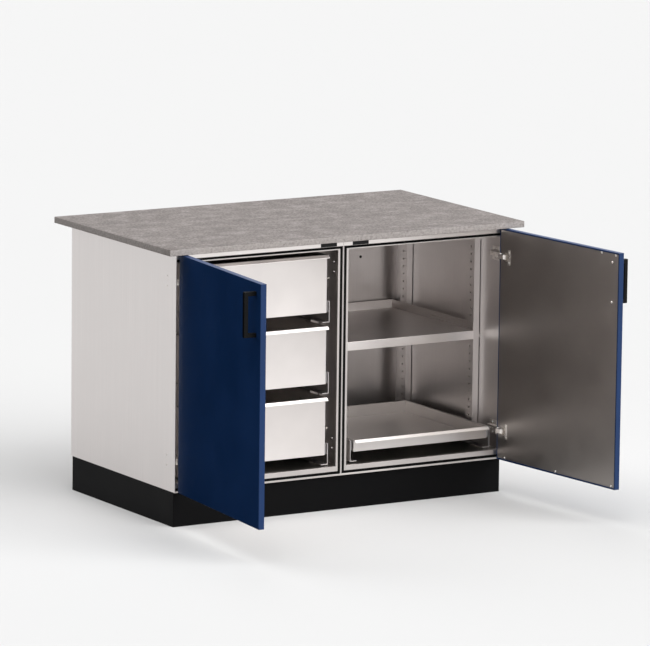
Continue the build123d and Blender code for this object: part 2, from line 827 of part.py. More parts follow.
def hinge_cup(side, z):
    """Cup, flange and link: the half of the hinge that turns with the door."""
    bar_near, bar_far = cup_bar_centre - cup_bar_width / 2, cup_bar_centre + cup_bar_width / 2
    link_y = door_inner_y + link_proud
    low_y = pivot_y - knuckle_radius
    with BuildPart() as cup:
        with BuildSketch(facing(liner_y)):
            with Locations((from_hinge(side, cup_centre), z)):
                Circle(cup_radius)
        extrude(amount=cup_depth)
        span(from_hinge(side, cup_centre), from_hinge(side, bar_far), liner_y,
             liner_y + cup_bar_thickness, z - cup_plate_height / 2, z + cup_plate_height / 2)
        span(from_hinge(side, bar_near), from_hinge(side, bar_far), liner_y,
             liner_y + cup_bar_thickness, z - cup_bar_height / 2, z + cup_bar_height / 2)
        with BuildSketch(facing(liner_y + cup_bar_thickness + overrun)):
            with Locations((from_hinge(side, cup_centre), z)):
                Circle(cup_radius - cup_sheet)
        extrude(amount=cup_depth - cup_sheet + cup_bar_thickness + overrun, mode=Mode.SUBTRACT)
        with BuildSketch(Plane.XY.offset(z - link_height / 2)):
            with BuildLine():
                Polyline(
                    (from_hinge(side, link_start), link_y),
                    (from_hinge(side, link_end), link_y),
                    (from_hinge(side, cup_centre), liner_y),
                    (from_hinge(side, cup_centre), liner_y - cup_depth + cup_sheet),
                    (from_hinge(side, pivot_inset + knuckle_radius), low_y),
                    (from_hinge(side, pivot_inset - knuckle_radius), low_y),
                    close=True,
                )
            make_face()
        extrude(amount=link_height)
        with Locations((side * pivot_x, pivot_y, z)):
            Cylinder(pin_radius + turning_clearance, link_height + 2 * overrun, mode=Mode.SUBTRACT)
    return cup.part


def hinge_arm(side, z):
    """Wall plate, arm, fork and pin: the half of the hinge that stays on the cabinet."""
    inner = side * fork_x
    wall = side * wall_x
    plate_face = side * (wall_x - hinge_plate_sheet)
    fork_back = front_y + arm_front + fork_root
    with BuildPart() as arm:
        span(inner, plate_face, front_y + arm_front, front_y + arm_back,
             z - arm_height / 2, z + arm_height / 2)
        fillet(arm.edges().filter_by(Axis.Y).group_by(Axis.X)[0 if side > 0 else -1], corner_radius)
        span(plate_face, wall, front_y + hinge_plate_front, front_y + arm_back + corner_radius,
             z - hinge_plate_height / 2, z + hinge_plate_height / 2)
        with BuildSketch(sideways(inner)):
            for index in range(2):
                with Locations((front_y + arm_screw_first + index * arm_screw_pitch, z)):
                    Circle(arm_screw_radius)
        extrude(amount=side * arm_screw_depth, mode=Mode.SUBTRACT)
        span(inner, plate_face, front_y + arm_front, fork_back, z - cheek_end, z + cheek_end)
        for face in (-1, 1):
            near, far = sorted((z + face * cheek_start, z + face * cheek_end))
            span(inner, inner + side * fork_width, pivot_y, fork_back, near, far)
            with Locations((side * pivot_x, pivot_y, (near + far) / 2)):
                Cylinder(knuckle_radius, cheek_thickness)
        with Locations((side * pivot_x, pivot_y, z)):
            Cylinder(pin_radius, 2 * cheek_end)
        with BuildSketch(sideways(plate_face - side * overrun)):
            with Locations((front_y + plate_screw_setback, z)):
                with GridLocations(0, side_hole_spacing, 1, 2):
                    Circle(plate_screw_radius + assembly_clearance)
        extrude(amount=side * (hinge_plate_sheet + 2 * overrun), mode=Mode.SUBTRACT)
    return arm.part


def plate_screw(side, z):
    """A screw that holds a hinge plate to the wall."""
    face = side * (wall_x - hinge_plate_sheet)
    with BuildPart() as fastener:
        with BuildSketch(sideways(face)):
            with Locations((front_y + plate_screw_setback, z)):
                Circle(plate_screw_head_radius)
        extrude(amount=-side * plate_screw_head)
        with BuildSketch(sideways(face)):
            with Locations((front_y + plate_screw_setback, z)):
                Circle(plate_screw_radius)
        extrude(amount=side * hinge_plate_sheet)
    return fastener.part


for side in (-1, 1):
    name = door_name(side)
    save(opened(door_skin(side), side), name + "skin")
    save(opened(door_liner(side), side), name + "liner")
    save(opened(door_handle(side), side), name + "handle")
    handle_screws = [
        screw(x, z, liner_y, screw_head_radius, screw_head_height, screw_radius,
              liner_y - door_outer_y + screw_bite)
        for x, z in handle_places(side)
    ]
    save_group([opened(part, side) for part in handle_screws], name + "handle_screws")
    liner_screws = [
        screw(x, z, liner_y, liner_screw_head_radius, liner_screw_head_height, liner_screw_radius,
              liner_screw_bite)
        for x, z in liner_screw_places(side)
    ]
    save_group([opened(part, side) for part in liner_screws], name + "liner_screws")
    save_group([opened(hinge_cup(side, z), side) for z in hinge_heights], name + "hinge_cups")
    save_group([hinge_arm(side, z) for z in hinge_heights], name + "hinge_arms")

save_group(
    [
        plate_screw(side, z + half * side_hole_spacing / 2)
        for side in (-1, 1)
        for z in hinge_heights
        for half in (-1, 1)
    ],
    "hinge_plate_screws",
)
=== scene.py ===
import json
import math

import bmesh
import bpy
from mathutils import Matrix, Vector

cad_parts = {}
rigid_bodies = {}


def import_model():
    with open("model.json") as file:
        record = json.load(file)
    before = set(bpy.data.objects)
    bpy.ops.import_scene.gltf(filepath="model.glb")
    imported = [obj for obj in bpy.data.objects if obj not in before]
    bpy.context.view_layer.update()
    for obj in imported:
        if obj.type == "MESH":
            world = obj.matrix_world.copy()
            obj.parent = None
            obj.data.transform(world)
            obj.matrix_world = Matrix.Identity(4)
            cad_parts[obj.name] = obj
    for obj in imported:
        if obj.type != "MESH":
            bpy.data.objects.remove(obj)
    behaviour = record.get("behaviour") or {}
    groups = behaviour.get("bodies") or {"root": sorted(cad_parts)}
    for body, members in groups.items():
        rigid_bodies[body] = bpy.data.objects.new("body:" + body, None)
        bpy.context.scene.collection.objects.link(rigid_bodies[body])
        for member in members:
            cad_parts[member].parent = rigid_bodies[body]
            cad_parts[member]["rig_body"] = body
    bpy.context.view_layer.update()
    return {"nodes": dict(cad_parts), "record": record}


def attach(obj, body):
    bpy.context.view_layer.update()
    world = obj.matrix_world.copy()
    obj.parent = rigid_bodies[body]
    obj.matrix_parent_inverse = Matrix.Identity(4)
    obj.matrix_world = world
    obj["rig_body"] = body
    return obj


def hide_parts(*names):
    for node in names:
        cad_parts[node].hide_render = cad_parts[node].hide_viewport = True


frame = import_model()
nodes = frame["nodes"]
nodeSlot = {row["node"]: row["material_slot"] for row in frame["record"]["subparts"]}
print("frame loaded:", len(nodes), "nodes")

mm = 0.001
scene = bpy.context.scene


# small helpers

def srgb(hexText):
    values = [int(hexText[i:i + 2], 16) / 255 for i in (1, 3, 5)]
    return [v / 12.92 if v <= 0.04045 else ((v + 0.055) / 1.055) ** 2.4 for v in values] + [1.0]


def shade(colour, share):
    return [min(1.0, v * share) for v in colour[:3]] + [1.0]


def addNode(tree, kind, inputs=None, stops=(), **settings):
    # inputs are plain values or other nodes' sockets, stops are the places and colours of a colour ramp
    node = tree.nodes.new(kind)
    for name, value in settings.items():
        setattr(node, name, value)
    for name, value in (inputs or {}).items():
        if isinstance(value, bpy.types.NodeSocket):
            tree.links.new(value, node.inputs[name])
        else:
            node.inputs[name].default_value = value
    for index, (place, hexText) in enumerate(stops):
        elements = node.color_ramp.elements
        element = elements[index] if index < len(elements) else elements.new(place)
        element.position = place
        element.color = srgb(hexText)
    return node


def newMaterial(name):
    material = bpy.data.materials.new(name)
    material.use_nodes = True
    material.node_tree.nodes.clear()
    return material, material.node_tree


def patternSpace(tree, *sizes):
    # object coordinates, scaled so that one unit of pattern is so many millimetres: one size, or one per axis
    place = addNode(tree, "ShaderNodeTexCoord").outputs["Object"]
    scale = [1 / (size * mm) for size in (sizes * 3)[:3]]
    return addNode(tree, "ShaderNodeMapping", {"Vector": place, "Scale": scale}).outputs["Vector"]


def seenOrMirrored(tree):
    # 1 where the camera or a reflection looks at a thing, 0 where it only lights others
    path = addNode(tree, "ShaderNodeLightPath").outputs
    rays = {0: path["Is Camera Ray"], 1: path["Is Glossy Ray"]}
    return addNode(tree, "ShaderNodeMath", rays, operation="MAXIMUM").outputs[0]


# camera, matched to the photo's perspective, in metres and degrees, with lens and sensor in millimetres

view = {
    "place": (-9.2576, -15.6106, 3.7272),
    "yaw": 31.05,
    "pitch": -9.913,
    "roll": 0.697,
    "lens": 314.88,
    "sensor": 36,
    "clipStart": 1,
    "clipEnd": 200,
}


def makeCamera():
    yaw, pitch, roll = (math.radians(view[k]) for k in ("yaw", "pitch", "roll"))
    ahead = Vector((math.sin(yaw) * math.cos(pitch), math.cos(yaw) * math.cos(pitch), math.sin(pitch)))
    right = Vector((math.cos(yaw), -math.sin(yaw), 0))
    up = right.cross(ahead)
    rightRolled = right * math.cos(roll) + up * math.sin(roll)
    upRolled = up * math.cos(roll) - right * math.sin(roll)
    turn = Matrix((rightRolled, upRolled, -ahead)).transposed().to_4x4()
    data = bpy.data.cameras.new("camera")
    data.sensor_width = view["sensor"]
    data.lens = view["lens"]
    data.clip_start = view["clipStart"]
    data.clip_end = view["clipEnd"]
    camera = bpy.data.objects.new("camera", data)
    camera.matrix_world = Matrix.Translation(view["place"]) @ turn
    scene.collection.objects.link(camera)
    scene.camera = camera


makeCamera()
print("camera placed")


# studio, in metres: pale floor, even sky and soft lamps, the strongest in front on the right

studio = {
    "floorHalf": 60.0,
    "floorColour": "#d6d6d6",
    "floorBounce": "#7c7a78",  # the floor's colour as a light on the object
    "skyColour": "#f2f2f2",
    "skyLight": 0.12,  # the sky's strength as a light, where it is 1 when seen or mirrored
    # name: strength, angle from the front (positive from the right), height, softness, in degrees
    "lamps": {
        "lowKeyLamp": (1.4, 26, 31, 50),
        "highKeyLamp": (1.35, 26, 45, 60),
        "topLamp": (1.4, -30, 68, 50),
        "backLamp": (1.3, 194, 50, 60),
    },
}
# a dark screen beside the front, which the open left door mirrors instead of the pale sky, with a strip of
# dark floor before it; only reflections see it, and only from its front
screen = {
    "left": -3.2,
    "right": -0.612,
    "depth": -0.34,
    "top": 2.4,
    "stripWidth": 0.75,
    "stripFront": -1.05,
    "lift": 0.002,
    "colour": "#040405",
}


def makeSky():
    world = bpy.data.worlds.new("studioSky")
    world.use_nodes = True
    tree = world.node_tree
    tree.nodes.clear()
    strength = addNode(tree, "ShaderNodeMapRange", {
        "Value": seenOrMirrored(tree), "To Min": studio["skyLight"],
    }).outputs["Result"]
    sky = addNode(tree, "ShaderNodeBackground", {"Color": srgb(studio["skyColour"]), "Strength": strength})
    addNode(tree, "ShaderNodeOutputWorld", {"Surface": sky.outputs[0]})
    scene.world = world


def makeLamps():
    for name, (strength, turn, height, softness) in studio["lamps"].items():
        data = bpy.data.lights.new(name, "SUN")
        data.energy = strength
        data.angle = math.radians(softness)
        lamp = bpy.data.objects.new(name, data)
        a, e = math.radians(turn), math.radians(height)
        towards = Vector((math.sin(a) * math.cos(e), -math.cos(a) * math.cos(e), math.sin(e)))
        lamp.matrix_world = towards.to_track_quat("Z", "Y").to_matrix().to_4x4()
        scene.collection.objects.link(lamp)


def stageSheet(name, points, faces, material):
    mesh = bpy.data.meshes.new(name)
    mesh.from_pydata(points, [], faces)
    mesh.materials.append(material)
    sheet = bpy.data.objects.new(name, mesh)
    scene.collection.objects.link(sheet)
    return sheet


def makeFloor():
    material, tree = newMaterial("paleStudioFloor")
    colour = addNode(tree, "ShaderNodeMix", {
        0: seenOrMirrored(tree), 6: srgb(studio["floorBounce"]), 7: srgb(studio["floorColour"]),
    }, data_type="RGBA").outputs[2]
    shader = addNode(tree, "ShaderNodeBsdfDiffuse", {"Color": colour})
    addNode(tree, "ShaderNodeOutputMaterial", {"Surface": shader.outputs[0]})
    half = studio["floorHalf"]
    corners = [(-half, -half, 0), (half, -half, 0), (half, half, 0), (-half, half, 0)]
    stageSheet("studioFloor", corners, [(0, 1, 2, 3)], material)


def makeScreen():
    material, tree = newMaterial("darkScreen")
    dark = addNode(tree, "ShaderNodeBsdfDiffuse", {"Color": srgb(screen["colour"])}).outputs[0]
    clear = addNode(tree, "ShaderNodeBsdfTransparent").outputs[0]
    behind = addNode(tree, "ShaderNodeNewGeometry").outputs["Backfacing"]
    shader = addNode(tree, "ShaderNodeMixShader", {0: behind, 1: dark, 2: clear})
    addNode(tree, "ShaderNodeOutputMaterial", {"Surface": shader.outputs[0]})
    left, right, depth, top, low = (screen[k] for k in ("left", "right", "depth", "top", "lift"))
    near, front = right - screen["stripWidth"], screen["stripFront"]
    upright = [(left, depth, low), (right, depth, low), (right, depth, top), (left, depth, top)]
    strip = [(near, depth, low), (near, front, low), (right, front, low)]
    card = stageSheet("darkScreen", upright + strip, [(0, 1, 2, 3), (4, 5, 6, 1)], material)
    card.visible_camera = False
    card.visible_shadow = False
    card.visible_diffuse = False


makeSky()
makeLamps()
makeFloor()
makeScreen()
scene.view_settings.view_transform = "Standard"
print("studio lit")


# materials: sizes and depths of their patterns are in millimetres

# how fine and how rough the noise textures are, from soft clouds to sharp specks
softNoise = {"Scale": 1.0, "Detail": 2.0, "Roughness": 0.5}
cloudNoise = {"Scale": 1.0, "Detail": 3.0, "Roughness": 0.5}
grainNoise = {"Scale": 1.0, "Detail": 3.0, "Roughness": 0.6}
mottleNoise = {"Scale": 1.0, "Detail": 6.0, "Roughness": 0.7}
speckNoise = {"Scale": 1.0, "Detail": 4.0, "Roughness": 0.75}
noiseSpan = {"From Min": 0.3, "From Max": 0.7}  # most of a noise texture's values lie between these
steel = {
    "lineLength": 260,
    "lineWidth": 1.4,
    "lineDepth": 0.015,
    "lineRoughness": 0.02,
    "cloudSize": 90,
    "cloudShade": 0.96,
    "streakLength": 420,
    "streakWidth": 3,
}


def brushSpace(tree, lines, length, width):
    return patternSpace(tree, *(length if axis == lines else width for axis in "xyz"))


def brushedStainless(name, lines, tone, roughness=0.32, wear=0.03, streak=0.0):
    # 304 stainless sheet, brushed with a belt: fine lines one way, which blur reflections across them,
    # and faint clouds where hands and cleaning left it duller. Real lines are about 0.2 mm apart,
    # drawn 1.4 mm apart so that they show.
    material, tree = newMaterial(name)
    grain = addNode(tree, "ShaderNodeTexNoise", {
        "Vector": brushSpace(tree, lines, steel["lineLength"], steel["lineWidth"]), **softNoise,
    }).outputs["Fac"]
    clouds = addNode(tree, "ShaderNodeTexNoise", {
        "Vector": patternSpace(tree, steel["cloudSize"]), **softNoise,
    }).outputs["Fac"]
    cloudShare = addNode(tree, "ShaderNodeMapRange", {"Value": clouds, **noiseSpan}).outputs["Result"]
    colour = addNode(tree, "ShaderNodeMix", {
        0: cloudShare, 6: shade(srgb(tone), steel["cloudShade"]), 7: srgb(tone),
    }, data_type="RGBA").outputs[2]
    if streak:
        streaks = addNode(tree, "ShaderNodeTexNoise", {
            "Vector": brushSpace(tree, lines, steel["streakLength"], steel["streakWidth"]), **grainNoise,
        }).outputs["Fac"]
        streakShare = addNode(tree, "ShaderNodeMapRange", {
            "Value": streaks, "From Min": 0.35, "From Max": 0.65,
        }).outputs["Result"]
        colour = addNode(tree, "ShaderNodeMix", {
            0: streakShare, 6: shade(srgb(tone), 1 - streak), 7: colour,
        }, data_type="RGBA").outputs[2]
    worn = addNode(tree, "ShaderNodeMapRange", {
        "Value": clouds, "From Min": 0.25, "From Max": 0.75,
        "To Min": roughness - wear, "To Max": roughness + wear,
    }).outputs["Result"]
    lined = addNode(tree, "ShaderNodeMapRange", {
        "Value": grain, **noiseSpan, "To Min": -steel["lineRoughness"], "To Max": steel["lineRoughness"],
    }).outputs["Result"]
    shader = addNode(tree, "ShaderNodeBsdfPrincipled", {
        "Base Color": colour,
        "Metallic": 1.0,
        "Roughness": addNode(tree, "ShaderNodeMath", {0: worn, 1: lined}, operation="ADD").outputs[0],
        "Normal": addNode(tree, "ShaderNodeBump", {
            "Height": grain, "Distance": steel["lineDepth"] * mm, "Strength": 0.12,
        }).outputs["Normal"],
    })
    addNode(tree, "ShaderNodeOutputMaterial", {"Surface": shader.outputs[0]})
    return material


paint = {"peelSize": 2.2, "cloudSize": 180, "darkest": 0.92, "palest": 1.1}


def powderCoat(name, hexText, roughness, peelDepth, specular):
    # polyester powder coat baked on sheet metal: an even satin skin with slight orange peel, 2 mm across
    material, tree = newMaterial(name)
    ripple = addNode(tree, "ShaderNodeTexNoise", {
        "Vector": patternSpace(tree, paint["peelSize"]), **softNoise,
    }).outputs["Fac"]
    clouds = addNode(tree, "ShaderNodeTexNoise", {
        "Vector": patternSpace(tree, paint["cloudSize"]), **cloudNoise,
    }).outputs["Fac"]
    cloudShare = addNode(tree, "ShaderNodeMapRange", {"Value": clouds, **noiseSpan}).outputs["Result"]
    shader = addNode(tree, "ShaderNodeBsdfPrincipled", {
        "Base Color": addNode(tree, "ShaderNodeMix", {
            0: cloudShare,
            6: shade(srgb(hexText), paint["darkest"]),
            7: shade(srgb(hexText), paint["palest"]),
        }, data_type="RGBA").outputs[2],
        "Roughness": addNode(tree, "ShaderNodeMapRange", {
            "Value": clouds, **noiseSpan, "To Min": roughness - 0.03, "To Max": roughness + 0.04,
        }).outputs["Result"],
        "Specular IOR Level": specular,
        "Normal": addNode(tree, "ShaderNodeBump", {
            "Height": ripple, "Distance": peelDepth * mm, "Strength": 0.6,
        }).outputs["Normal"],
    })
    addNode(tree, "ShaderNodeOutputMaterial", {"Surface": shader.outputs[0]})
    return material


stone = {
    "driftSizes": (150, 110, 110),
    "mottleSizes": (66, 50, 50),
    "grainSizes": (9, 7, 7),
    "mottleDepth": 0.4,
    "pitDepth": 0.25,
    "mottleTones": [(0.37, "#443e3b"), (0.46, "#5c5552"), (0.54, "#78716e"), (0.63, "#989190")],
    "driftTones": [(0.36, "#57504e"), (0.64, "#8b8481")],
    "driftShare": 0.25,
    "grainTones": [(0.38, "#2b2624"), (0.47, "#6a6360"), (0.6, "#b0a9a6")],
    "grainShare": 0.36,
    # painted light: paler tones laid on the slab's sides by the direction of each face
    "paintedLightSideTones": [(0.3, "#857e7b"), (0.42, "#b2aba8"), (0.64, "#cac3c0")],
    "paintedLightSideShare": 0.75,
}


def honedStone(name):
    # sintered stone slab, honed: a warm grey ground mottled in patches of 50 to 66 mm, with finer grain of
    # 7 to 9 mm and dark pits; the sides are painted paler than the top, by how far each face looks up:
    # painted light on the sides
    material, tree = newMaterial(name)
    drifts = addNode(tree, "ShaderNodeTexNoise", {
        "Vector": patternSpace(tree, *stone["driftSizes"]), **cloudNoise,
    }).outputs["Fac"]
    mottles = addNode(tree, "ShaderNodeTexNoise", {
        "Vector": patternSpace(tree, *stone["mottleSizes"]), **mottleNoise,
    }).outputs["Fac"]
    grain = addNode(tree, "ShaderNodeTexNoise", {
        "Vector": patternSpace(tree, *stone["grainSizes"]), **speckNoise,
    }).outputs["Fac"]
    normal = addNode(tree, "ShaderNodeNewGeometry").outputs["Normal"]
    upward = addNode(tree, "ShaderNodeSeparateXYZ", {0: normal}).outputs[2]
    # painted light: the less a face looks up, the more of the paler side tones it gets
    paintedLightSideShare = addNode(tree, "ShaderNodeMapRange", {
        "Value": upward, "From Min": 0.2, "From Max": 0.8, "To Min": stone["paintedLightSideShare"], "To Max": 0.0,
    }).outputs["Result"]
    colour = addNode(tree, "ShaderNodeValToRGB", {"Fac": mottles}, stone["mottleTones"]).outputs["Color"]
    layers = ((drifts, "driftTones", stone["driftShare"]), (grain, "grainTones", stone["grainShare"]),
              (grain, "paintedLightSideTones", paintedLightSideShare))
    for pattern, tones, share in layers:
        layer = addNode(tree, "ShaderNodeValToRGB", {"Fac": pattern}, stone[tones]).outputs["Color"]
        colour = addNode(tree, "ShaderNodeMix", {0: share, 6: colour, 7: layer}, data_type="RGBA").outputs[2]
    pits = addNode(tree, "ShaderNodeBump", {
        "Height": grain, "Distance": stone["pitDepth"] * mm, "Strength": 0.5,
    }).outputs["Normal"]
    shader = addNode(tree, "ShaderNodeBsdfPrincipled", {
        "Base Color": colour,
        "Roughness": addNode(tree, "ShaderNodeMapRange", {
            "Value": mottles, **noiseSpan, "To Min": 0.5, "To Max": 0.66,
        }).outputs["Result"],
        "Specular IOR Level": 0.25,
        "Normal": addNode(tree, "ShaderNodeBump", {
            "Height": mottles, "Distance": stone["mottleDepth"] * mm, "Strength": 0.3, "Normal": pits,
        }).outputs["Normal"],
    })
    addNode(tree, "ShaderNodeOutputMaterial", {"Surface": shader.outputs[0]})
    return material


plating = {"grainSize": 0.9, "grainDepth": 0.02, "cloudSize": 12, "cloudShade": 0.86}


def platedSteel(name, hexText, roughness):
    # plated steel pressing: bright, slightly clouded plating over a fine pressed grain
    material, tree = newMaterial(name)
    grain = addNode(tree, "ShaderNodeTexNoise", {
        "Vector": patternSpace(tree, plating["grainSize"]), **grainNoise,
    }).outputs["Fac"]
    clouds = addNode(tree, "ShaderNodeTexNoise", {
        "Vector": patternSpace(tree, plating["cloudSize"]), **cloudNoise,
    }).outputs["Fac"]
    shader = addNode(tree, "ShaderNodeBsdfPrincipled", {
        "Base Color": addNode(tree, "ShaderNodeMix", {
            0: clouds, 6: shade(srgb(hexText), plating["cloudShade"]), 7: srgb(hexText),
        }, data_type="RGBA").outputs[2],
        "Metallic": 1.0,
        "Roughness": addNode(tree, "ShaderNodeMapRange", {
            "Value": clouds, **noiseSpan, "To Min": roughness - 0.05, "To Max": roughness + 0.07,
        }).outputs["Result"],
        "Normal": addNode(tree, "ShaderNodeBump", {
            "Height": grain, "Distance": plating["grainDepth"] * mm, "Strength": 0.5,
        }).outputs["Normal"],
    })
    addNode(tree, "ShaderNodeOutputMaterial", {"Surface": shader.outputs[0]})
    return material


moulding = {"cloudSize": 30, "cloudShade": 1.4}


def mouldedBlack(name, hexText, roughness, grainSize, grainDepth, specular):
    # moulded nylon or rubber: a dull black skin with the mould's fine texture
    material, tree = newMaterial(name)
    grain = addNode(tree, "ShaderNodeTexNoise", {
        "Vector": patternSpace(tree, grainSize), **grainNoise,
    }).outputs["Fac"]
    clouds = addNode(tree, "ShaderNodeTexNoise", {
        "Vector": patternSpace(tree, moulding["cloudSize"]), **softNoise,
    }).outputs["Fac"]
    shader = addNode(tree, "ShaderNodeBsdfPrincipled", {
        "Base Color": addNode(tree, "ShaderNodeMix", {
            0: clouds, 6: srgb(hexText), 7: shade(srgb(hexText), moulding["cloudShade"]),
        }, data_type="RGBA").outputs[2],
        "Roughness": addNode(tree, "ShaderNodeMapRange", {
            "Value": grain, **noiseSpan, "To Min": roughness - 0.06, "To Max": roughness + 0.06,
        }).outputs["Result"],
        "Specular IOR Level": specular,
        "Normal": addNode(tree, "ShaderNodeBump", {
            "Height": grain, "Distance": grainDepth * mm, "Strength": 0.6,
        }).outputs["Normal"],
    })
    addNode(tree, "ShaderNodeOutputMaterial", {"Surface": shader.outputs[0]})
    return material


finishes = {
    "stone": honedStone("honedGreyStone"),
    # painted light: a paler steel than the rest, standing in for the light on the drawer fronts, shelf and
    # top rail
    "paintedLightLengthways": brushedStainless("brushedStainlessPaintedLightLengthways", "x", "#f0eae7"),
    "upright": brushedStainless("brushedStainlessUpright", "z", "#d8d3d1"),
    "outerSteel": brushedStainless("brushedStainlessOuter", "z", "#dad5d3", 0.34, wear=0.04, streak=0.05),
    # painted shade: a darker steel for the inner sides of drawers and shelves
    "paintedShadeSide": brushedStainless("brushedStainlessPaintedShadeSide", "y", "#d0cac7", 0.3),
    # painted shade: a darker steel for the bays' floors, which lie in shade
    "paintedShadeFloor": brushedStainless("brushedStainlessFloorPaintedShade", "x", "#9b9692"),
    "traySteel": brushedStainless("brushedStainlessTray", "x", "#dad5d2"),
    # painted shade: a darker steel for the door liners, standing in for the dark surroundings they mirror
    "paintedShadeDoorSteel": brushedStainless("brushedStainlessDoorPaintedShade", "z", "#aaa4a0", 0.36),
    "frameSteel": brushedStainless("brushedStainlessFrame", "z", "#cfc9c6", 0.34),
    "bluePaint": powderCoat("navyPowderCoat", "#083060", 0.42, peelDepth=0.04, specular=0.38),
    "blackPaint": powderCoat("blackPowderCoat", "#070708", 0.6, peelDepth=0.05, specular=0.08),
    "handlePaint": powderCoat("satinBlackHandle", "#0c0c0d", 0.42, peelDepth=0.02, specular=0.12),
    "nickel": platedSteel("nickelPlatedHinge", "#f6f1ec", 0.3),
    "screwSteel": platedSteel("brightScrewSteel", "#f2efea", 0.2),
    "zinc": platedSteel("zincPlatedSlide", "#c4c5c6", 0.34),
    "nylon": mouldedBlack("blackNylon", "#161617", 0.5, grainSize=0.8, grainDepth=0.03, specular=0.3),
    "seal": mouldedBlack("blackSealRubber", "#060606", 0.7, grainSize=0.5, grainDepth=0.04, specular=0.1),
}
slotFinish = {
    "stone": "stone", "stainless": "upright", "blue_paint": "bluePaint", "black_paint": "blackPaint",
    "handle_black": "handlePaint", "nickel": "nickel", "bright_screw": "screwSteel", "zinc": "zinc",
    "black_nylon": "nylon", "black_plastic": "nylon", "seal_rubber": "seal",
}
# by the end of a node's name, where a part's sheet is brushed another way or duller than its slot's, or given
# a paler or darker tone of the same steel: painted light on the drawers, shelf and top rail, painted shade on
# the door liners and the bays' floors
ownFinish = {
    "outer_wall": "outerSteel", "back": "outerSteel", "door_liner": "paintedShadeDoorSteel",
    "gutter_frame": "frameSteel", "floor": "paintedShadeFloor", "tray": "traySteel",
    "drawer": "paintedLightLengthways", "shelf": "paintedLightLengthways", "top_rail": "paintedLightLengthways",
}
print("materials made:", len(finishes))


def finishOf(nodeName):
    for end, finish in ownFinish.items():
        if nodeName.endswith(end):
            return finishes[finish]
    return finishes[slotFinish[nodeSlot[nodeName]]]


# pressed and folded parts: each CAD shell, welded and given the small radius that its edges have, by the
# end of its node's name, in millimetres and degrees

edgeRadii = {
    "worktop_slab": 0.0,
    "door_skin": 0.45,
    "door_liner": 0.2,
    "door_handle": 0.5,
    "door_seal": 1.2,
    "drawer": 0.35,
    "tray": 0.35,
    "shelf": 0.45,
    "brackets": 0.5,
    "wall": 0.3,
    "top_rail": 0.45,
    "gutter_frame": 0.28,
    "posts": 0.35,
    "toe_kick": 0.6,
    "plinth_frame": 0.5,
    "back": 0.4,
    "floor": 0.3,
    "latches": 0.8,
    "hinge_arms": 0.4,
    "hinge_cups": 0.4,
}
folding = {"weldDistance": 0.02, "flatAngle": 0.6, "sharpAngle": 32, "bevelSegments": 2}
# sheet parts whose inner side gets a darker steel, painted shade inside the drawers and on the shelf's rims:
# the depth of the front lip, which is brushed, and the height up to which the base counts as inner side
paintedShadeSides = {"drawer": (15.0, 6.0), "shelf": (30.0, 0.0)}
# how far a face looks up, as a share: walls lie below the first limit, the base above the second
innerLimits = {"wall": 0.5, "base": 0.9}


def welded(nodeName):
    bm = bmesh.new()
    bm.from_mesh(nodes[nodeName].data)
    bmesh.ops.remove_doubles(bm, verts=bm.verts, dist=folding["weldDistance"] * mm)
    return bm


def smoothMesh(mesh):
    for face in mesh.polygons:
        face.use_smooth = True
    mesh.set_sharp_from_angle(angle=math.radians(folding["sharpAngle"]))


def markPaintedShadeSide(mesh, lipDepth, baseHeight):
    low, high = (Vector(pick(v.co[k] for v in mesh.vertices) for k in range(3)) for pick in (min, max))
    middle = (low + high) / 2
    mesh.materials.append(finishes["paintedShadeSide"])
    # painted shade: faces that look inwards behind the lip, walls and base, take the darker steel
    for face in mesh.polygons:
        inwards = face.normal.dot(middle - face.center) > 0
        behindLip = face.center.y > low.y + lipDepth * mm
        wall = abs(face.normal.z) < innerLimits["wall"]
        base = face.normal.z > innerLimits["base"] and face.center.z < low.z + baseHeight * mm
        if inwards and behindLip and (wall or base):
            face.material_index = 1


def softened(nodeName, radius):
    bm = welded(nodeName)
    flat = math.radians(folding["flatAngle"])
    bmesh.ops.dissolve_limit(bm, angle_limit=flat, verts=bm.verts, edges=bm.edges)
    mesh = bpy.data.meshes.new(nodeName + "_folded")
    bm.to_mesh(mesh)
    bm.free()
    smoothMesh(mesh)
    mesh.materials.append(finishOf(nodeName))
    for end, (lipDepth, baseHeight) in paintedShadeSides.items():
        if nodeName.endswith(end):
            markPaintedShadeSide(mesh, lipDepth, baseHeight)
    piece = bpy.data.objects.new(nodeName + "_folded", mesh)
    scene.collection.objects.link(piece)
    if radius:
        bevel = piece.modifiers.new("edge radius", "BEVEL")
        bevel.width = radius * mm
        bevel.segments = folding["bevelSegments"]
        bevel.limit_method = "ANGLE"
        bevel.angle_limit = math.radians(folding["sharpAngle"])
        bevel.harden_normals = True
        bevel.use_clamp_overlap = True
    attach(piece, nodes[nodeName]["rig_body"])
    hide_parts(nodeName)


screwNodes = ("handle_screws", "liner_screws", "plate_screws")
for nodeName in sorted(nodes):
    if nodeName.endswith(screwNodes):
        continue
    radius = next((edgeRadii[end] for end in edgeRadii if nodeName.endswith(end)), None)
    if radius is None:
        mesh = nodes[nodeName].data
        mesh.materials.clear()
        mesh.materials.append(finishOf(nodeName))
    else:
        softened(nodeName, radius)
print("folded parts dressed")


# screws with a cross recess: on the places and in the directions of the CAD screws, and for the hinge cups
# and arms on places listed in the door table

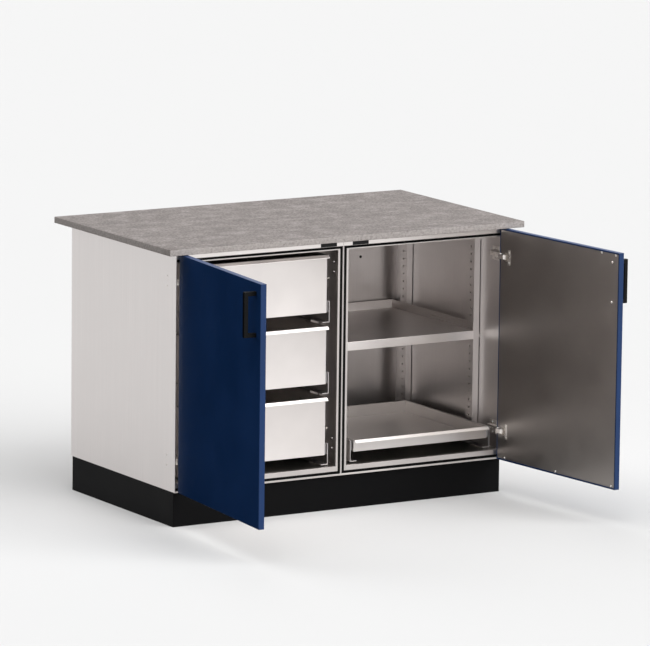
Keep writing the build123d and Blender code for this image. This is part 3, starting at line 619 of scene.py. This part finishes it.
screws = {
    "ballSegments": 28,
    "ballRings": 14,
    "rimLevel": 0.0001,  # above it the ball's points form the dome, below it they form the flat underside
    "shankSides": 16,
    "overlap": 0.3,  # of shank and head, in millimetres
    # width and length as shares of the head's radius, depth as a share of its height
    "recessWidthShare": 0.24,
    "recessLengthShare": 1.15,
    "recessDepthShare": 0.62,
    "seed": 7,
}
screwSizes = {
    # head radius, head height, shank radius, shank length, in millimetres
    "handle_screws": (4.2, 2.2, 2.0, 26.0),
    "liner_screws": (4.0, 1.6, 1.4, 5.0),
    "plate_screws": (3.4, 1.8, 1.8, 1.5),
    "arm_screws": (2.4, 1.2, 1.8, 0.8),
    "cup_screws": (3.2, 1.3, 1.8, 2.0),
}
screwInputs = ("Head Radius", "Head Height", "Shank Radius", "Shank Length")


def makeScrewTree():
    tree = bpy.data.node_groups.new("crossHeadScrew", "GeometryNodeTree")
    face = tree.interface
    face.new_socket("Places", in_out="INPUT", socket_type="NodeSocketGeometry")
    for name in screwInputs:
        face.new_socket(name, in_out="INPUT", socket_type="NodeSocketFloat")
    face.new_socket("Finish", in_out="INPUT", socket_type="NodeSocketMaterial")
    face.new_socket("Seed", in_out="INPUT", socket_type="NodeSocketInt")
    face.new_socket("Screws", in_out="OUTPUT", socket_type="NodeSocketGeometry")
    given = addNode(tree, "NodeGroupInput").outputs
    headRadius, headHeight, shankRadius, shankLength = (given[name] for name in screwInputs)
    headSize = addNode(tree, "ShaderNodeCombineXYZ", {0: headRadius, 1: headRadius, 2: headHeight}).outputs[0]

    # domed head: the upper half of a ball of radius 1, flattened so that its top is nearly level
    ball = addNode(tree, "GeometryNodeMeshUVSphere", {
        "Segments": screws["ballSegments"], "Rings": screws["ballRings"], "Radius": 1.0,
    }).outputs["Mesh"]
    onBall = addNode(tree, "GeometryNodeInputPosition").outputs[0]
    x, y, z = addNode(tree, "ShaderNodeSeparateXYZ", {0: onBall}).outputs
    flat = addNode(tree, "ShaderNodeCombineXYZ", {0: x, 1: y}).outputs[0]
    spread = addNode(tree, "ShaderNodeVectorMath", {0: flat, 1: flat}, operation="DOT_PRODUCT").outputs[1]
    bend = addNode(tree, "ShaderNodeMath", {0: spread, 1: spread}, operation="MULTIPLY").outputs[0]
    rest = addNode(tree, "ShaderNodeMath", {0: 1.0, 1: bend}, operation="SUBTRACT", use_clamp=True).outputs[0]
    level = addNode(tree, "ShaderNodeMath", {0: rest}, operation="SQRT").outputs[0]
    upper = addNode(tree, "ShaderNodeMath", {
        0: z, 1: screws["rimLevel"],
    }, operation="GREATER_THAN").outputs[0]
    rise = addNode(tree, "ShaderNodeMath", {0: level, 1: upper}, operation="MULTIPLY").outputs[0]
    dome = addNode(tree, "ShaderNodeCombineXYZ", {0: x, 1: y, 2: rise}).outputs[0]
    place = addNode(tree, "ShaderNodeVectorMath", {0: dome, 1: headSize}, operation="MULTIPLY").outputs[0]
    head = addNode(tree, "GeometryNodeSetPosition", {"Geometry": ball, "Position": place}).outputs[0]

    overlap = screws["overlap"] * mm
    length = addNode(tree, "ShaderNodeMath", {0: shankLength, 1: overlap}, operation="ADD").outputs[0]
    shank = addNode(tree, "GeometryNodeMeshCylinder", {
        "Vertices": screws["shankSides"], "Radius": shankRadius, "Depth": length,
    }).outputs["Mesh"]
    reach = addNode(tree, "ShaderNodeMath", {0: overlap, 1: shankLength}, operation="SUBTRACT").outputs[0]
    half = addNode(tree, "ShaderNodeMath", {0: reach, 1: 0.5}, operation="MULTIPLY").outputs[0]
    down = addNode(tree, "ShaderNodeCombineXYZ", {2: half}).outputs[0]
    shank = addNode(tree, "GeometryNodeTransform", {"Geometry": shank, "Translation": down}).outputs[0]
    whole = addNode(tree, "GeometryNodeMeshBoolean", {"Mesh 2": head}, operation="UNION", solver="EXACT")
    tree.links.new(shank, whole.inputs["Mesh 2"])

    # cross recess: two bars crossed at the top of the head
    headTop = addNode(tree, "ShaderNodeCombineXYZ", {2: headHeight}).outputs[0]
    cut = addNode(tree, "GeometryNodeMeshBoolean", {"Mesh 1": whole.outputs["Mesh"]},
                  operation="DIFFERENCE", solver="EXACT")
    long, wide, deep = (screws["recess" + k + "Share"] for k in ("Length", "Width", "Depth"))
    for shares in ((long, wide, 2 * deep), (wide, long, 2 * deep)):
        size = addNode(tree, "ShaderNodeVectorMath", {
            0: headSize, 1: shares,
        }, operation="MULTIPLY").outputs[0]
        bar = addNode(tree, "GeometryNodeMeshCube", {"Size": size}).outputs["Mesh"]
        raised = addNode(tree, "GeometryNodeTransform", {"Geometry": bar, "Translation": headTop}).outputs[0]
        tree.links.new(raised, cut.inputs["Mesh 2"])

    # one screw on each place, its axis along that place's direction, turned as it was driven
    turn = addNode(tree, "FunctionNodeRandomValue", {
        2: 0.0, 3: math.pi, "Seed": given["Seed"],
    }, data_type="FLOAT").outputs[1]
    spun = addNode(tree, "FunctionNodeAxisAngleToRotation", {"Axis": (0, 0, 1), "Angle": turn}).outputs[0]
    aim = addNode(tree, "GeometryNodeInputNamedAttribute", {"Name": "aim"}, data_type="FLOAT_VECTOR")
    aimed = addNode(tree, "FunctionNodeAlignRotationToVector", {
        "Rotation": spun, "Vector": aim.outputs[0],
    }, axis="Z").outputs[0]
    placed = addNode(tree, "GeometryNodeInstanceOnPoints", {
        "Points": given["Places"], "Instance": cut.outputs["Mesh"], "Rotation": aimed,
    }).outputs[0]
    real = addNode(tree, "GeometryNodeRealizeInstances", {"Geometry": placed}).outputs[0]
    finished = addNode(tree, "GeometryNodeSetMaterial", {"Geometry": real, "Material": given["Finish"]})
    addNode(tree, "NodeGroupOutput", {"Screws": finished.outputs[0]})
    return tree


screwTree = makeScrewTree()
sockets = screwTree.interface.items_tree
screwSocket = {item.name: item.identifier for item in sockets if item.in_out == "INPUT"}


def shells(nodeName):
    # the separate solids of a node, each as a list of points, in the order of the CAD mesh
    bm = welded(nodeName)
    seen, found = set(), []
    for start in bm.verts:
        if start in seen:
            continue
        seen.add(start)
        stack, points = [start], []
        while stack:
            vert = stack.pop()
            points.append(vert.co.copy())
            for edge in vert.link_edges:
                other = edge.other_vert(vert)
                if other not in seen:
                    seen.add(other)
                    stack.append(other)
        found.append(points)
    bm.free()
    return found


def headPlaces(nodeName, aim, headHeight):
    # where each head meets the sheet, from the farthest point along its direction and its middle across
    across = aim.cross(Vector((0, 0, 1)))
    places = []
    for points in shells(nodeName):
        along = max(p.dot(aim) for p in points) - headHeight * mm
        side = [p.dot(across) for p in points]
        height = [p.z for p in points]
        places.append(aim * along + across * (min(side) + max(side)) / 2
                      + Vector((0, 0, (min(height) + max(height)) / 2)))
    return places


def placeScrews(name, body, kind, spots, finish, nodeName=None):
    # spots are pairs of a place and a direction
    mesh = bpy.data.meshes.new(name + "_places")
    mesh.from_pydata([place for place, aim in spots], [], [])
    aims = mesh.attributes.new("aim", "FLOAT_VECTOR", "POINT")
    for index, (place, aim) in enumerate(spots):
        aims.data[index].vector = aim
    piece = bpy.data.objects.new(name, mesh)
    scene.collection.objects.link(piece)
    maker = piece.modifiers.new("screws", "NODES")
    maker.node_group = screwTree
    for label, size in zip(screwInputs, screwSizes[kind]):
        maker[screwSocket[label]] = size * mm
    maker[screwSocket["Finish"]] = finish
    maker[screwSocket["Seed"]] = screws["seed"]
    made = bpy.data.meshes.new_from_object(piece.evaluated_get(bpy.context.evaluated_depsgraph_get()))
    piece.modifiers.remove(maker)
    piece.data = made
    smoothMesh(made)
    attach(piece, body)
    if nodeName:
        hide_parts(nodeName)


# doors and hinges, in millimetres and degrees, for the right side, which the left mirrors: places on a
# door are counted from its hinge edge, as it is when shut, and then turned open

door = {
    "pivot": (600.0, -360.0),
    "hingeEdge": 608.0,
    "openAngle": 95.5,
    "cupBar": 46.0,
    "cupBarFace": -345.9,
    "cupScrewSpread": 17.0,
    "armFace": 596.8,
    "armScrews": (-309.0, -294.0),
    "armScrewDepth": 2.4,
    "hingeHeights": (209.5, 782.5),
}


def onDoor(side, distance, y, z):
    px, py = side * door["pivot"][0], door["pivot"][1]
    x = side * (door["hingeEdge"] - distance) - px
    a = math.radians(side * door["openAngle"])
    return Vector(((px + x * math.cos(a) - (y - py) * math.sin(a)) * mm,
                   (py + x * math.sin(a) + (y - py) * math.cos(a)) * mm, z * mm))


for side, word in ((-1, "left"), (1, "right")):
    inward = (onDoor(side, 0, 1, 0) - onDoor(side, 0, 0, 0)).normalized()
    body = word + "_door"
    for kind in ("handle_screws", "liner_screws"):
        nodeName = body + "_" + kind
        spots = [(place, inward) for place in headPlaces(nodeName, inward, screwSizes[kind][1])]
        placeScrews(nodeName + "_made", body, kind, spots, finishes["screwSteel"], nodeName)
    spots = [(onDoor(side, door["cupBar"], door["cupBarFace"], z + half * door["cupScrewSpread"]), inward)
             for z in door["hingeHeights"] for half in (-1, 1)]
    placeScrews(body + "_cup_screws", body, "cup_screws", spots, finishes["nickel"])

plateSpots, armSpots = [], []
plateHead = screwSizes["plate_screws"][1]
for side in (-1, 1):
    aim = Vector((-side, 0, 0))
    plateSpots += [(p, aim) for p in headPlaces("hinge_plate_screws", aim, plateHead) if p.x * side > 0]
    x = side * (door["armFace"] + door["armScrewDepth"]) * mm
    armSpots += [(Vector((x, y * mm, z * mm)), aim) for y in door["armScrews"] for z in door["hingeHeights"]]
placeScrews("hinge_plate_screws_made", "cabinet", "plate_screws", plateSpots,
            finishes["screwSteel"], "hinge_plate_screws")
placeScrews("hinge_arm_screws", "cabinet", "arm_screws", armSpots, finishes["nickel"])
print("screws placed")
